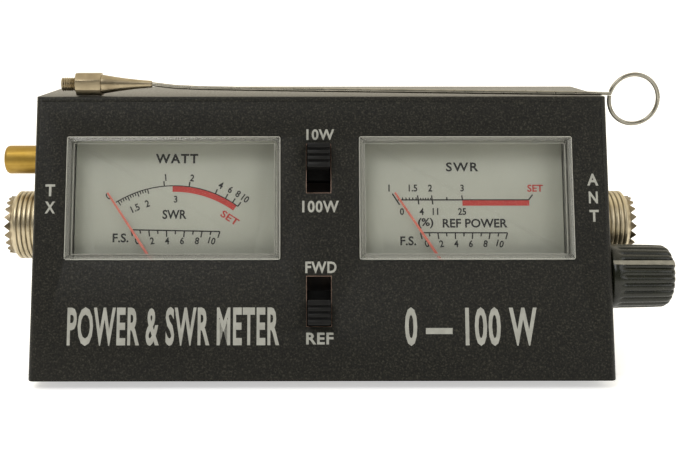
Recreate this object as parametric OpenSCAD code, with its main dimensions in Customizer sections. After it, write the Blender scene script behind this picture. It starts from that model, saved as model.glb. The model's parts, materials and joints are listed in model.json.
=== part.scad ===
// Sloped-front SWR and power meter: steel case, two panel meters, two slide switches,
// a calibration knob, two UHF sockets, an antenna post and a loose whip antenna.
// X runs right, Y to the rear, Z up. Z = 0 is the table under the feet. Sizes in mm.

/* [Case] */
// Width of the case
case_w = 124.6; // [124:0.2:126]
// Height of the case without its feet
case_h = 58; // [58:0.5:62]
// Depth of the case along its floor
base_d = 49.5; // [49.5:0.5:52]
// Depth of the flat top, behind the sloped front
top_d = 29.2; // [29.2:0.2:31]
// Thickness of the steel sheet
sheet = 1; // [0.8:0.1:1]
// Outside radius of the folded corners
bend_r = 1.3; // [1.2:0.1:2.5]
// Height of the rubber feet
foot_h = 2; // [1.8:0.1:4]

/* [Panel meters] */
// Sideways place of the left meter's centre
left_x = -32.1; // [-32.6:0.1:-31.6]
// Sideways place of the right meter's centre
right_x = 31.2; // [30.8:0.1:31.6]
// Width of a window
win_w = 46.5; // [44:0.1:47]
// Height of a window
win_h = 27.1; // [25:0.1:27.5]
// Slope distance from the case's foot to the window's middle
win_v = 39.2; // [39:0.1:39.8]
// Slope distance from the case's foot to the needle pivots
pivot_v = 18.3; // [17.5:0.1:18.5]
// Length of a needle from its pivot
needle_l = 27.2; // [24:0.1:28]
// Angle of the needles at zero, left of the slope's line
rest_deg = 33.5; // [30:0.5:36]

/* [Slide switches] */
// Sideways place of both switches
switch_x = -0.7; // [-0.9:0.1:-0.4]
// Slope distance to the power range switch
power_v = 45.6; // [45.2:0.1:46]
// Slope distance to the forward and reflected switch
function_v = 16.9; // [16.6:0.1:17.2]
// Length of a slot
slot_l = 10.6; // [10.6:0.1:11]
// Width of a slot
slot_w = 5.2; // [5.2:0.05:5.4]
// Travel of a slider
travel = 5; // [4:0.1:5]

/* [Sockets, post and knob] */
// Outside radius of the UHF socket's thread
thread_r = 7.94; // [7.9:0.01:7.98]
// How far a socket stands out of the side
socket_l = 9.9; // [9.5:0.1:10.4]
// Radius of the socket's centre contact bore
contact_bore_r = 2; // [1.95:0.01:2.05]
// Depth place of the sockets' and the post's axes
socket_y = 4.6; // [4.4:0.1:4.8]
// Height of the sockets' axes
socket_z = 29.35; // [29.1:0.05:29.6]
// Height of the antenna post's axis
post_z = 44.75; // [44.7:0.05:45.5]
// Radius of the antenna post
post_r = 3.25; // [3.2:0.05:3.4]
// Radius of the antenna post's threaded hole
post_bore_r = 1.5; // [1.5:0.01:1.6]
// Depth place of the knob's axis
knob_y = -10.5; // [-10.6:0.1:-10.3]
// Height of the knob's axis
knob_z = 20.9; // [20.6:0.1:21.1]
// Radius of the knob's skirt
skirt_r = 7.25; // [7:0.05:7.3]
// How far the knob's end stands out of the side
knob_l = 14.2; // [13:0.1:15]

/* [Whip antenna] */
// Depth place of the whip, just behind the case's top front edge
whip_y = -3; // [-3.4:0.1:2]
// Radius of the whip's wire
wire_r = 0.45; // [0.35:0.05:0.5]
// Outside radius of the ring at the whip's tip
ring_r = 5.85; // [5:0.05:6]

/* [Hidden] */

$fn = 48;
gap = 0.05;                                  // clearance between fixed pieces that fit together
over = 1;                                    // how far a cutting solid runs past what it cuts
case_x = -2.1;                               // centres the whole outline, knob and sockets included
front_y = -25.5;
rear_y = front_y + base_d;
top_z = foot_h + case_h;
lean = atan((base_d - top_d) / case_h);
face_l = case_h / cos(lean);

flange_w = 8;                                // width of the folded screw flanges
flange_x = case_w / 2 - sheet - flange_w / 2;
cover_screw_z = [12, 50];
cover_screw_y = 0;
foot_x = 50;
foot_y = [-14, 15];
foot_r = 4;

ear_x = 18;                                  // meter ears, from the meter's centre
ear_v = [6.3, 57];
stud_r = 1.2;
body_w = 47.5;                               // meter body behind the panel
body_h = 44.9;
body_v = 31.75;
shell_t = 1.2;                               // wall of the meter's cover and base
boss_front = 0.35;                           // the cover stands this far out of the panel
cover_back = -7;
base_back = -16;
dial_front = -5.5;
dial_t = 0.4;
needle_w = -4.4;                             // plane of the needle
bridge_x = 7.3;                              // legs and screws of the movement
bridge_w = -3.6;                             // underside of the front bridge
yoke_front = -8;
yoke_back = -13;
yoke_r = 9;
yoke_flat = 7.6;                             // flats that clear the meter's walls
yoke_bore_r = 5.6;
core_r = 3.6;
coil_r = 5.1;                                // reach of the coil's long sides
coil_front = -6.8;
coil_back = -14.2;
coil_t = 0.7;
coil_w = 2.6;
pivot_r = 0.4;
jewel_r = 1.1;
jewel_bore_r = 0.48;
dial_screw = [15.5, 20.5];

ear_off = 9.7;                               // switch ears, from the switch's centre
switch_depth = 7;
board_t = 1.2;

board_y = 8;                                 // front face of the coupler board
board_z = [19, 43];
board_half = 56.5;
board_back = board_y + 1.6;
tab_x = 54;
tab_z = 40.2;
tab_h = 5.2;                                 // the tabs pass just above the socket flanges

whip_z = 62.6;                               // axis of the ferrule on the case's top
ring_x = 68.95;
ring_z = 59.3;

profile = [[front_y, foot_h], [rear_y, foot_h], [rear_y, top_z], [rear_y - top_d, top_z]];
inner_profile = [[front_y, foot_h + sheet], [rear_y - sheet, foot_h + sheet],
                 [rear_y - sheet, top_z - sheet], [front_y, top_z - sheet]];

// Frames: place() is the case's own frame, on_face() lies on the sloped panel with
// x right, y up the slope and z outwards, on_side() has z outwards along +X or -X.
module place() {
    translate([case_x, 0, 0])
        children();
}
module on_face() {
    place()
        translate([0, front_y, foot_h])
            rotate([90 - lean, 0, 0])
                children();
}
module on_side(dir, y, z) {
    place()
        translate([dir * case_w / 2, y, z])
            rotate([0, dir * 90, 0])
                children();
}
module along_x(w) {
    rotate([90, 0, 90])
        linear_extrude(w, center = true)
            children();
}

// Shared shapes
module tube_cyl(r, bore, z0, z1) {
    difference() {
        translate([0, 0, z0]) cylinder(h = z1 - z0, r = r);
        translate([0, 0, z0 - over]) cylinder(h = z1 - z0 + 2 * over, r = bore);
    }
}
module rod(r, z0, z1) {
    translate([0, 0, z0]) cylinder(h = z1 - z0, r = r);
}
module block(w, h, z0, z1) {
    translate([-w / 2, -h / 2, z0]) cube([w, h, z1 - z0]);
}
module rounded_rect(w, h, r) {
    square([w, h - 2 * r], center = true);
    square([w - 2 * r, h], center = true);
    for (sx = [-1, 1], sy = [-1, 1])
        translate([sx * (w / 2 - r), sy * (h / 2 - r)]) circle(r);
}
module slab(w, h, r, z0, z1) {
    translate([0, 0, z0])
        linear_extrude(z1 - z0)
            rounded_rect(w, h, r);
}
module fold_outline(w, r) {
    depth = 70;
    translate([-w / 2, -depth]) square([w, depth - r]);
    translate([-w / 2 + r, -r]) square([w - 2 * r, r]);
    for (s = [-1, 1])
        translate([s * (w / 2 - r), -r]) circle(r);
}
module hex_nut(flats, bore, z0, z1) {
    difference() {
        translate([0, 0, z0]) cylinder(h = z1 - z0, r = flats / 2 / cos(30), $fn = 6);
        translate([0, 0, z0 - over]) cylinder(h = z1 - z0 + 2 * over, r = bore);
    }
}
// Pan head screw: the head sits on z = 0, the shank runs down to -len.
module pan_screw(r, len, head_r, head_h) {
    difference() {
        union() {
            rod(r, -len, 0);
            rod(head_r, 0, head_h);
        }
        for (a = [0, 90])
            rotate([0, 0, a]) block(head_r * 1.3, head_h * 0.4, head_h * 0.45, head_h + over);
    }
}

// Wire swept along its points with round-number routes; ref is never along the wire.
function unit(v) = v / norm(v);
function heading(p, i) = unit(p[min(i + 1, len(p) - 1)] - p[max(i - 1, 0)]);
module wire(p, r, ref = [0, 1, 0], sides = 8) {
    pts = [for (i = [0 : len(p) - 1]) let (t = heading(p, i), a = unit(cross(t, ref)), b = cross(t, a))
               for (k = [0 : sides - 1]) let (q = 360 * k / sides) p[i] + r * (cos(q) * a + sin(q) * b)];
    last = (len(p) - 1) * sides;
    walls = [for (i = [0 : len(p) - 2], k = [0 : sides - 1]) let (j = (k + 1) % sides)
                 [i * sides + k, (i + 1) * sides + k, (i + 1) * sides + j, i * sides + j]];
    caps = [[for (k = [0 : sides - 1]) k], [for (k = [sides - 1 : -1 : 0]) last + k]];
    polyhedron(pts, concat(caps, walls));
}

// Case
module front_chassis() {
    color([0.07, 0.07, 0.07])
        difference() {
            union() {
                folded_sheet();
                side_flanges();
                panel_studs();
            }
            panel_cutouts();
            side_holes();
            flange_holes();
        }
}
module folded_sheet() {
    intersection() {
        on_face()
            translate([0, face_l + 10, 0])
                rotate([90, 0, 0])
                    linear_extrude(face_l + 30)
                        difference() {
                            fold_outline(case_w, bend_r);
                            translate([0, -sheet]) fold_outline(case_w - 2 * sheet, bend_r - sheet);
                        }
        union() {
            place() along_x(case_w) polygon(inner_profile);
            intersection() {
                place() along_x(case_w) polygon(profile);
                on_face() translate([0, face_l / 2, 0]) block(case_w, 2 * face_l, -sheet, over);
            }
        }
    }
}
module side_flanges() {
    place()
        for (s = [-1, 1]) {
            translate([s * flange_x, rear_y - 1.5 * sheet, (foot_h + top_z) / 2])
                cube([flange_w + gap, sheet, case_h - 8], center = true);
            translate([s * flange_x, 4, foot_h + 1.5 * sheet])
                cube([flange_w + gap, 34, sheet], center = true);
            translate([s * (case_w / 2 - sheet - 5), board_back + sheet / 2, tab_z])
                cube([10 + gap, sheet, tab_h], center = true);
        }
}
module panel_studs() {
    on_face() {
        for (mx = [left_x, right_x], s = [-1, 1], v = ear_v)
            translate([mx + s * ear_x, v, 0]) rod(stud_r, -5.5, -sheet + gap);
        for (v = [power_v + ear_off, function_v - ear_off])
            translate([switch_x, v, 0]) rod(stud_r, -11, -sheet + gap);
    }
}
module panel_cutouts() {
    on_face() {
        for (mx = [left_x, right_x])
            translate([mx, win_v, 0]) slab(win_w, win_h, 0.6, -sheet - over, over);
        for (v = [power_v, function_v])
            translate([switch_x, v, 0]) block(slot_w, slot_l, -sheet - over, over);
    }
}
module side_holes() {
    for (dir = [-1, 1])
        on_side(dir, socket_y, socket_z) rod(thread_r + 0.11, -sheet - over, over);
    on_side(-1, socket_y, post_z) rod(4.1, -sheet - over, over);
    on_side(1, knob_y, knob_z) rod(3.6, -sheet - over, over);
}
module flange_holes() {
    place()
        for (s = [-1, 1]) {
            for (z = cover_screw_z)
                translate([s * flange_x, rear_y, z]) rotate([90, 0, 0]) rod(1.5, 0, 4);
            translate([s * flange_x, cover_screw_y, foot_h]) rod(1.5, -over, 4);
            translate([s * tab_x, board_y, tab_z]) rotate([-90, 0, 0]) rod(1.25, 0, 5);
        }
}
module rear_cover() {
    color([0.09, 0.09, 0.09])
        difference() {
            place() along_x(case_w) polygon(profile);
            place() along_x(case_w + 2 * over) polygon(inner_profile);
            on_face() translate([0, face_l / 2, 0]) block(2 * case_w, 3 * face_l, -sheet - gap, 60);
            place()
                for (s = [-1, 1]) {
                    for (z = cover_screw_z)
                        translate([s * flange_x, rear_y + over, z]) rotate([90, 0, 0]) rod(1.7, 0, 4);
                    translate([s * flange_x, cover_screw_y, foot_h]) rod(1.7, -over, 2);
                }
        }
}
module cover_screws() {
    color("silver")
        place()
            for (s = [-1, 1]) {
                for (z = cover_screw_z)
                    translate([s * flange_x, rear_y, z]) rotate([-90, 0, 0]) pan_screw(1.45, 5, 2.75, 1.3);
                translate([s * flange_x, cover_screw_y, foot_h])
                    rotate([180, 0, 0]) pan_screw(1.45, 5, 2.75, 1.3);
            }
}
module rubber_feet() {
    color([0.12, 0.12, 0.12])
        place()
            for (s = [-1, 1], y = foot_y)
                translate([s * foot_x, y, 0]) rod(foot_r, 0, foot_h);
}
module panel_nuts() {
    color("silver")
        on_face() {
            for (mx = [left_x, right_x], s = [-1, 1], v = ear_v)
                translate([mx + s * ear_x, v, 0]) hex_nut(5, stud_r + gap, -5.1, -3.1);
            for (v = [power_v + ear_off, function_v - ear_off])
                translate([switch_x, v, 0])
                    hex_nut(5, stud_r + gap, -switch_depth - board_t - 2, -switch_depth - board_t);
        }
}

// Panel meter: mx is the sideways place of its centre
module meter_cover(mx) {
    boss_w = win_w - 0.2;
    boss_h = win_h - 0.2;
    color([0.85, 0.92, 0.95, 0.35])
        on_face()
            translate([mx, 0, 0])
                difference() {
                    union() {
                        translate([0, win_v, 0]) slab(boss_w, boss_h, 0.5, -sheet - over, boss_front);
                        translate([0, body_v, 0]) slab(body_w, body_h, 1.5, cover_back, -sheet);
                        for (s = [-1, 1])
                            translate([s * ear_x, (ear_v[0] + ear_v[1]) / 2, 0])
                                slab(7, ear_v[1] - ear_v[0] + 5.6, 1.5, -3.1, -sheet);
                    }
                    translate([0, win_v, 0])
                        slab(boss_w - 2 * shell_t, boss_h - 2 * shell_t, 0.3, cover_back, boss_front - shell_t);
                    translate([0, body_v, 0])
                        slab(body_w - 2 * shell_t, body_h - 2 * shell_t, 0.8, cover_back - over, -2.3);
                    for (s = [-1, 1], v = ear_v)
                        translate([s * ear_x, v, 0]) rod(stud_r + 0.1, -4, 0);
                }
}
module meter_dial(mx) {
    color([0.93, 0.93, 0.91])
        on_face()
            translate([mx, 0, 0])
                difference() {
                    translate([0, body_v, 0]) slab(44.6, 42.2, 0.8, dial_front - dial_t, dial_front);
                    translate([0, 16.4, 0]) block(22, 16, dial_front - over, dial_front + over);
                    for (s = [-1, 1])
                        translate([s * dial_screw[0], dial_screw[1], 0]) rod(0.9, dial_front - over, 0);
                }
}
module meter_base(mx) {
    floor_w = base_back + shell_t;
    color([0.1, 0.1, 0.1])
        on_face()
            translate([mx, 0, 0])
                difference() {
                    union() {
                        difference() {
                            translate([0, body_v, 0]) slab(body_w, body_h, 1.5, base_back, cover_back);
                            translate([0, body_v, 0])
                                slab(body_w - 2 * shell_t, body_h - 2 * shell_t, 0.8, floor_w, over);
                        }
                        for (s = [-1, 1]) {
                            translate([s * dial_screw[0], dial_screw[1], 0])
                                rod(2, floor_w - gap, dial_front - dial_t);
                            translate([s * bridge_x, pivot_v, 0]) rod(1.7, floor_w - gap, yoke_back);
                        }
                    }
                    for (s = [-1, 1]) {
                        translate([s * dial_screw[0], dial_screw[1], 0]) rod(0.75, -10, 0);
                        translate([s * bridge_x, pivot_v, 0]) rod(0.9, -15.4, 0);
                    }
                    translate([0, pivot_v, 0]) rod(jewel_r + gap, base_back - over, 0);
                }
}
module meter_yoke(mx) {
    color([0.55, 0.55, 0.58])
        on_face()
            translate([mx, pivot_v, 0])
                difference() {
                    intersection() {
                        rod(yoke_r, yoke_back, yoke_front);
                        block(2 * yoke_r + over, 2 * yoke_flat, yoke_back, yoke_front);
                    }
                    rod(yoke_bore_r, yoke_back - over, 0);
                    for (s = [-1, 1])
                        translate([s * bridge_x, 0, 0]) rod(0.9, yoke_back - over, 0);
                }
}
module meter_core(mx) {
    color([0.4, 0.4, 0.43])
        on_face()
            translate([mx, pivot_v, 0]) {
                rod(core_r, yoke_back, yoke_front);
                for (s = [-1, 1])
                    translate([0, s * (core_r + yoke_bore_r) / 2, 0])
                        block(1.6, yoke_bore_r - core_r - 0.1, -11, -10);
                block(1.6, 2 * core_r + 0.4, -11, -10);
            }
}
module meter_bridge(mx) {
    color([0.8, 0.7, 0.4])
        on_face()
            translate([mx, pivot_v, 0])
                difference() {
                    union() {
                        slab(18.4, 4.6, 2, bridge_w, bridge_w + 0.8);
                        for (s = [-1, 1])
                            translate([s * bridge_x, 0, 0]) rod(1.6, yoke_front, bridge_w + gap);
                    }
                    for (s = [-1, 1])
                        translate([s * bridge_x, 0, 0]) rod(0.9, yoke_front - over, 0);
                    rod(jewel_r + gap, -7, 0);
                }
}
module meter_coil(mx) {
    color([0.72, 0.4, 0.2])
        on_face()
            translate([mx, pivot_v, 0])
                rotate([0, 0, rest_deg]) {
                    for (s = [-1, 1])
                        translate([s * (coil_r - 0.5), 0, 0]) block(1, coil_w, coil_back, coil_front);
                    for (w = [coil_front - coil_t, coil_back])
                        block(2 * coil_r, coil_w, w, w + coil_t);
                    rod(pivot_r, coil_front - gap, bridge_w + 0.35);
                    rod(pivot_r, coil_back - 0.9, coil_back + gap);
                }
}
module meter_needle(mx) {
    blade = [[-0.34, 0], [-0.34, 10], [-0.2, needle_l], [0.2, needle_l], [0.34, 10], [0.34, 0]];
    color([0.8, 0.15, 0.1])
        on_face()
            translate([mx, pivot_v, 0])
                rotate([0, 0, rest_deg])
                    difference() {
                        union() {
                            rod(1, -5, -3.9);
                            translate([0, 0, needle_w - 0.1]) linear_extrude(0.2) polygon(blade);
                            translate([0, -2.7, 0]) block(0.9, 5.4, needle_w - 0.15, needle_w + 0.15);
                            translate([0, -4.8, 0]) rod(0.9, -4.9, -4);
                        }
                        rod(pivot_r + 0.02, -6, -3);
                    }
}
module meter_hairsprings() {
    turns = 3.5;
    steps = 84;
    inner = 0.75;
    pitch = 0.68;
    strip = 0.14;
    spiral = [for (i = [0 : steps]) let (a = 360 * turns * i / steps, r = inner + pitch * a / 360)
                  r * [cos(a), sin(a)]];
    outer = [for (i = [steps : -1 : 0]) let (a = 360 * turns * i / steps, r = inner + strip + pitch * a / 360)
                 r * [cos(a), sin(a)]];
    color([0.75, 0.6, 0.3])
        on_face()
            for (mx = [left_x, right_x])
                translate([mx, pivot_v, -6.4]) {
                    linear_extrude(0.3) polygon(concat(spiral, outer));
                    translate([-bridge_x + 1.65, -0.15, 0]) cube([bridge_x - 4.7, 0.3, 0.3]);
                }
}
module meter_jewels() {
    color([0.75, 0.1, 0.2])
        on_face()
            for (mx = [left_x, right_x])
                translate([mx, pivot_v, 0]) {
                    difference() {
                        rod(jewel_r, bridge_w, bridge_w + 1);
                        rod(jewel_bore_r, bridge_w - over, bridge_w + 0.5);
                    }
                    difference() {
                        rod(jewel_r, base_back, base_back + 1.25);
                        rod(jewel_bore_r, base_back + 0.7, base_back + 2);
                    }
                }
}
module meter_bridge_screws() {
    color([0.8, 0.75, 0.5])
        on_face()
            for (mx = [left_x, right_x], s = [-1, 1])
                translate([mx + s * bridge_x, pivot_v, bridge_w + 0.8]) pan_screw(0.85, 12.2, 1.6, 0.42);
}
module meter_dial_screws() {
    color([0.8, 0.75, 0.5])
        on_face()
            for (mx = [left_x, right_x], s = [-1, 1])
                translate([mx + s * dial_screw[0], dial_screw[1], dial_front]) pan_screw(0.7, 4, 1.5, 0.8);
}

// Slide switches: v is the slope distance of the switch's centre
module at_switch(v) {
    on_face()
        translate([switch_x, v, 0])
            children();
}
module switch_shell(v) {
    color([0.7, 0.7, 0.68])
        at_switch(v)
            difference() {
                union() {
                    block(9.2, 16, -switch_depth, -sheet);
                    slab(8, 2 * ear_off + 3.6, 1.5, -sheet - 0.5, -sheet);
                }
                block(8.2, 15, -switch_depth - over, -sheet - 0.5);
                block(slot_w, slot_l, -switch_depth, 0);
                for (s = [-1, 1])
                    translate([0, s * ear_off, 0]) rod(stud_r + 0.1, -4, 0);
            }
}
module switch_base(v) {
    color([0.45, 0.28, 0.14])
        at_switch(v) {
            block(8.1, 14.9, -switch_depth, -switch_depth + 1);
            for (s = [-1, 1], k = [-1 : 1])
                translate([2 * s, 4 * k, 0]) rod(0.7, -switch_depth - 4, -switch_depth + gap);
        }
}
module switch_slider(v) {
    color([0.05, 0.05, 0.05])
        at_switch(v)
            difference() {
                union() {
                    block(7.6, 9.8, -4.9, -1.7);
                    slab(slot_w - 0.3, 5.3, 0.3, -1.8, 2.8);
                }
                for (k = [-1 : 1])
                    translate([0, 1.3 * k, 0]) block(slot_w, 0.55, 2.1, 2.8 + over);
            }
}
module switch_contact(v) {
    color([0.85, 0.75, 0.45])
        at_switch(v) {
            block(5.6, 7, -5.2, -4.9);
            for (s = [-1, 1], k = [-1, 1])
                translate([2 * s, 2 * k, 0]) rod(0.5, -5.8, -5.15);
        }
}
module switch_board() {
    length = power_v - function_v + 2 * ear_off + 5;
    color([0.55, 0.42, 0.2])
        on_face()
            difference() {
                translate([-0.45, (power_v + function_v) / 2, 0])
                    block(14.2, length, -switch_depth - board_t, -switch_depth);
                for (v = [power_v, function_v], s = [-1, 1], k = [-1 : 1])
                    translate([switch_x + 2 * s, v + 4 * k, 0]) rod(0.85, -10, 0);
                for (v = [power_v + ear_off, function_v - ear_off])
                    translate([switch_x, v, 0]) rod(stud_r + 0.1, -10, 0);
            }
}

// Calibration potentiometer and its knob
module on_pot() {
    on_side(1, knob_y, knob_z)
        children();
}
module pot_body() {
    color([0.6, 0.6, 0.6])
        on_pot()
            difference() {
                union() {
                    rod(6, -6, -sheet);
                    rod(3.5, -sheet - gap, 3.4);
                    translate([3.3, 0, 0]) block(6.6, 9.2, -6, -5);
                }
                rod(5, -5.2, -2);
                rod(3.06, -3, 4);
            }
}
module pot_terminals() {
    color("silver")
        on_pot()
            for (k = [-1 : 1])
                translate([8.6, 3 * k, 0]) block(4, 1.2, -5.8, -5.3);
}
module pot_shaft() {
    color([0.85, 0.85, 0.82])
        on_pot() {
            rod(3, -3.2, 10.4);
            rod(4.5, -3.4, -2.6);
            translate([0, -2.2, 0]) block(1.2, 4.4, -4.6, -3.2);
        }
}
module pot_washer() {
    color("silver")
        on_pot() tube_cyl(5.2, 3.6, 0, 0.5);
}
module pot_nut() {
    color("silver")
        on_pot() hex_nut(9, 3.56, 0.5, 2.4);
}
module cal_knob() {
    flutes = 24;
    nose_r = skirt_r - 0.4;
    color([0.16, 0.2, 0.19])
        on_pot()
            difference() {
                rotate_extrude()
                    polygon([[0, 0.4], [skirt_r, 0.4], [skirt_r, 3], [skirt_r - 0.15, 3],
                             [nose_r, knob_l - 0.9], [nose_r - 0.9, knob_l], [0, knob_l]]);
                rod(5.7, 0, 4.4);
                rod(3.03, 0, 10.6);
                for (i = [0 : flutes - 1])
                    rotate([0, 0, (i + 0.5) * 360 / flutes])
                        translate([skirt_r + 0.1, 0, 0]) rod(0.55, 3.2, knob_l + over);
            }
}

// UHF sockets: dir is -1 on the left and 1 on the right
module at_socket(dir) {
    on_side(dir, socket_y, socket_z)
        children();
}
module socket_shell(dir) {
    teeth = 20;
    collar_r = 6.7;
    tooth_h = 1.3;
    tooth_w = PI * collar_r / teeth;         // half a tooth, at its root
    thread_start = 2.4;
    thread_end = socket_l - 2.4;
    relief = 0.3;                            // the neck inside the nut is this much smaller
    color([0.75, 0.75, 0.73])
        at_socket(dir)
            difference() {
                union() {
                    rod(9.5, -sheet - 3, -sheet);
                    rod(thread_r - relief, -sheet - gap, thread_start + gap);
                    rod(thread_r, thread_start, thread_end);
                    translate([0, 0, thread_end]) cylinder(h = 1, r1 = thread_r, r2 = collar_r);
                    rod(collar_r, thread_end, socket_l);
                }
                rod(6.1, 0.5, socket_l + over);
                rod(4.55, -5, 1);
                for (i = [0 : teeth - 1])
                    rotate([0, 90, i * 360 / teeth])
                        translate([-socket_l, 0, 4])
                            linear_extrude(5)
                                polygon([[tooth_h, 0], [-tooth_h, 2 * tooth_w], [-tooth_h, -2 * tooth_w]]);
            }
}
module socket_insulator(dir) {
    color([0.92, 0.9, 0.82])
        at_socket(dir)
            difference() {
                union() {
                    rod(6.05, 0.5, 4.4);
                    rod(4.5, -5, 1);
                }
                rod(2.45, -6, 5);
            }
}
module socket_contact(dir) {
    color([0.8, 0.75, 0.6])
        at_socket(dir)
            difference() {
                union() {
                    rod(2.4, -8, 4.4);
                    rod(1.5, -13, -7);
                }
                rod(contact_bore_r, -4, 5);
                rod(0.9, -14, -10);
            }
}
module socket_washers() {
    color("silver")
        for (dir = [-1, 1])
            at_socket(dir) tube_cyl(9.6, 8.05, 0, 0.5);
}
module socket_nuts() {
    color("silver")
        for (dir = [-1, 1])
            at_socket(dir) rotate([0, 0, 30]) hex_nut(18, 7.7, 0.5, 2.3);
}

// Antenna post
module on_post() {
    on_side(-1, socket_y, post_z)
        children();
}
module antenna_post() {
    edge = 0.7;
    tip = 10;
    color([0.75, 0.58, 0.2])
        on_post()
            difference() {
                union() {
                    rod(2, -5.2, 1 + gap);
                    rotate_extrude()
                        polygon([[0, 1], [post_r, 1], [post_r, tip - edge], [post_r - edge, tip], [0, tip]]);
                }
                rod(post_bore_r, tip - 6, tip + over);
            }
}
module post_insulators() {
    color([0.15, 0.1, 0.08])
        on_post() {
            difference() {
                union() {
                    rod(5.4, 0, 1);
                    rod(4, -sheet, gap);
                }
                rod(2.1, -over - sheet, 2);
            }
            tube_cyl(5.4, 2.1, -sheet - 1, -sheet);
        }
}
module post_nut() {
    color([0.8, 0.65, 0.3])
        on_post() hex_nut(7, 2.05, -sheet - 3.4, -sheet - 1);
}

// Whip antenna, laid loose along the top front edge
module whip_ferrule() {
    stub_l = 3.2;
    collar_l = 5.6;
    collar_flats = 4.9;
    cone_l = 11;
    color("silver")
        place()
            translate([-56.95, whip_y, whip_z])
                rotate([0, 90, 0])
                    difference() {
                        union() {
                            rod(post_bore_r, 0, stub_l + gap);
                            translate([0, 0, stub_l])
                                rotate([0, 0, 22.5]) cylinder(h = collar_l, r = collar_flats / 2 / cos(22.5), $fn = 8);
                            translate([0, 0, stub_l + collar_l]) cylinder(h = cone_l, r1 = 2.1, r2 = 0.75);
                        }
                        rod(wire_r + 0.06, stub_l + collar_l + cone_l - 2.6, 30);
                    }
}
module whip_wire() {
    route = [[-39.6, whip_y, whip_z], [-37.1, whip_y, whip_z], [-32, whip_y, 62], [-26, whip_y, 61.75],
             [-5, whip_y, 61.4], [18, whip_y, 61.1], [40, whip_y, 60.8], [56, whip_y, 60.6],
             [63.55, whip_y, 60.5]];
    color("silver")
        place() {
            wire(route, wire_r);
            translate([ring_x, whip_y, ring_z])
                rotate([90, 0, 0])
                    rotate_extrude()
                        translate([ring_r - wire_r, 0]) circle(wire_r);
        }
}

// Directional coupler board and its wiring
module coupler_board() {
    color([0.5, 0.4, 0.15])
        place()
            difference() {
                translate([-board_half, board_y, board_z[0]])
                    cube([2 * board_half, board_back - board_y, board_z[1] - board_z[0]]);
                for (s = [-1, 1])
                    translate([s * tab_x, 0, tab_z]) rotate([-90, 0, 0]) rod(1.35, 0, 20);
            }
}
module board_screws() {
    color("silver")
        place()
            for (s = [-1, 1])
                translate([s * tab_x, board_y, tab_z]) rotate([90, 0, 0]) pan_screw(1.2, 4.5, 2.3, 1.2);
}
module line_conductor() {
    color([0.8, 0.75, 0.7])
        place()
            translate([0, socket_y, socket_z]) rotate([0, 90, 0]) rod(0.8, -51.5, 51.5);
}
// A leaded part along X behind the board: body radius r, body length l
module leaded(x, z, r, l) {
    lead_r = 0.3;
    y = board_back + r + 0.5;
    translate([x, y, z])
        rotate([0, 90, 0]) {
            rod(r, -l / 2, l / 2);
            rod(lead_r, -l / 2 - 2, l / 2 + 2);
        }
    for (s = [-1, 1])
        translate([x + s * (l / 2 + 2 - lead_r), board_back, z]) rotate([-90, 0, 0]) rod(lead_r, 0, r + 0.5);
}
module board_diodes() {
    color([0.9, 0.55, 0.3])
        place()
            for (s = [-1, 1])
                leaded(s * 42, 25, 0.9, 4);
}
module board_resistors() {
    color([0.75, 0.6, 0.4])
        place()
            for (s = [-1, 1], k = [0, 1])
                leaded(s * (10 + 14 * k), 24, 1.2, 6);
}
module board_capacitors() {
    color([0.75, 0.45, 0.2])
        place()
            for (s = [-1, 1], k = [0, 1])
                translate([s * (16 + 18 * k), board_back, 32]) {
                    translate([0, 4.5, 0]) rotate([0, 90, 0]) rod(3, -0.8, 0.8);
                    for (dz = [-1.5, 1.5])
                        translate([0, 0, dz]) rotate([-90, 0, 0]) rod(0.3, 0, 2.5);
                }
}
module hookup_wires() {
    insulation_r = 0.6;
    color([0.7, 0.1, 0.1])
        place() {
            for (mx = [left_x, right_x], s = [-1, 1])
                wire([[mx + 6 * s, 10.3, 36], [mx + 6 * s, 11.4, 39], [mx + 6 * s, 11.4, 42.5],
                      [mx + 6 * s, 9.6, 44.6], [mx + 6 * s, 6.9, 44.2]], insulation_r, [1, 0, 0]);
            for (x = [-3.5, 2.5])
                wire([[x, -8, 24.9], [x, -4.5, 23], [x, 0, 22.2], [x, 4.5, 22.3], [x, 7.9, 23]],
                     insulation_r, [1, 0, 0]);
            wire([[56.4, -10.5, 9.6], [56.4, -8.6, 7.4], [56, -5.5, 6.8], [53, -1, 7.4], [46, 3, 9.5],
                  [39, 5.5, 13], [35, 6.6, 16.5], [34, 7.2, 20.5]], insulation_r, [0.7, 0.7, 0.1]);
            wire([[-56.95, 6.8, 46.4], [-56.7, 8.6, 47.2], [-54, 10.6, 47], [-50.5, 11.4, 45],
                  [-48, 11.4, 42.6], [-47, 10.8, 39.5], [-47, 10.3, 37]], insulation_r, [0.6, 0, 0.8]);
        }
}

front_chassis();
rear_cover();
cover_screws();
rubber_feet();
panel_nuts();
meter_cover(left_x);  // meter_cover_left
meter_cover(right_x);  // meter_cover_right
meter_dial(left_x);  // meter_dial_left
meter_dial(right_x);  // meter_dial_right
meter_base(left_x);  // meter_base_left
meter_base(right_x);  // meter_base_right
meter_yoke(left_x);  // meter_yoke_left
meter_yoke(right_x);  // meter_yoke_right
meter_core(left_x);  // meter_core_left
meter_core(right_x);  // meter_core_right
meter_bridge(left_x);  // meter_bridge_left
meter_bridge(right_x);  // meter_bridge_right
meter_coil(left_x);  // meter_coil_left
meter_coil(right_x);  // meter_coil_right
meter_needle(left_x);  // meter_needle_left
meter_needle(right_x);  // meter_needle_right
meter_hairsprings();
meter_jewels();
meter_bridge_screws();
meter_dial_screws();
switch_board();
switch_shell(power_v);  // switch_shell_power
switch_shell(function_v);  // switch_shell_function
switch_base(power_v);  // switch_base_power
switch_base(function_v);  // switch_base_function
switch_slider(power_v + travel / 2);  // switch_slider_power
switch_slider(function_v - travel / 2);  // switch_slider_function
switch_contact(power_v + travel / 2);  // switch_contact_power
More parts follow.
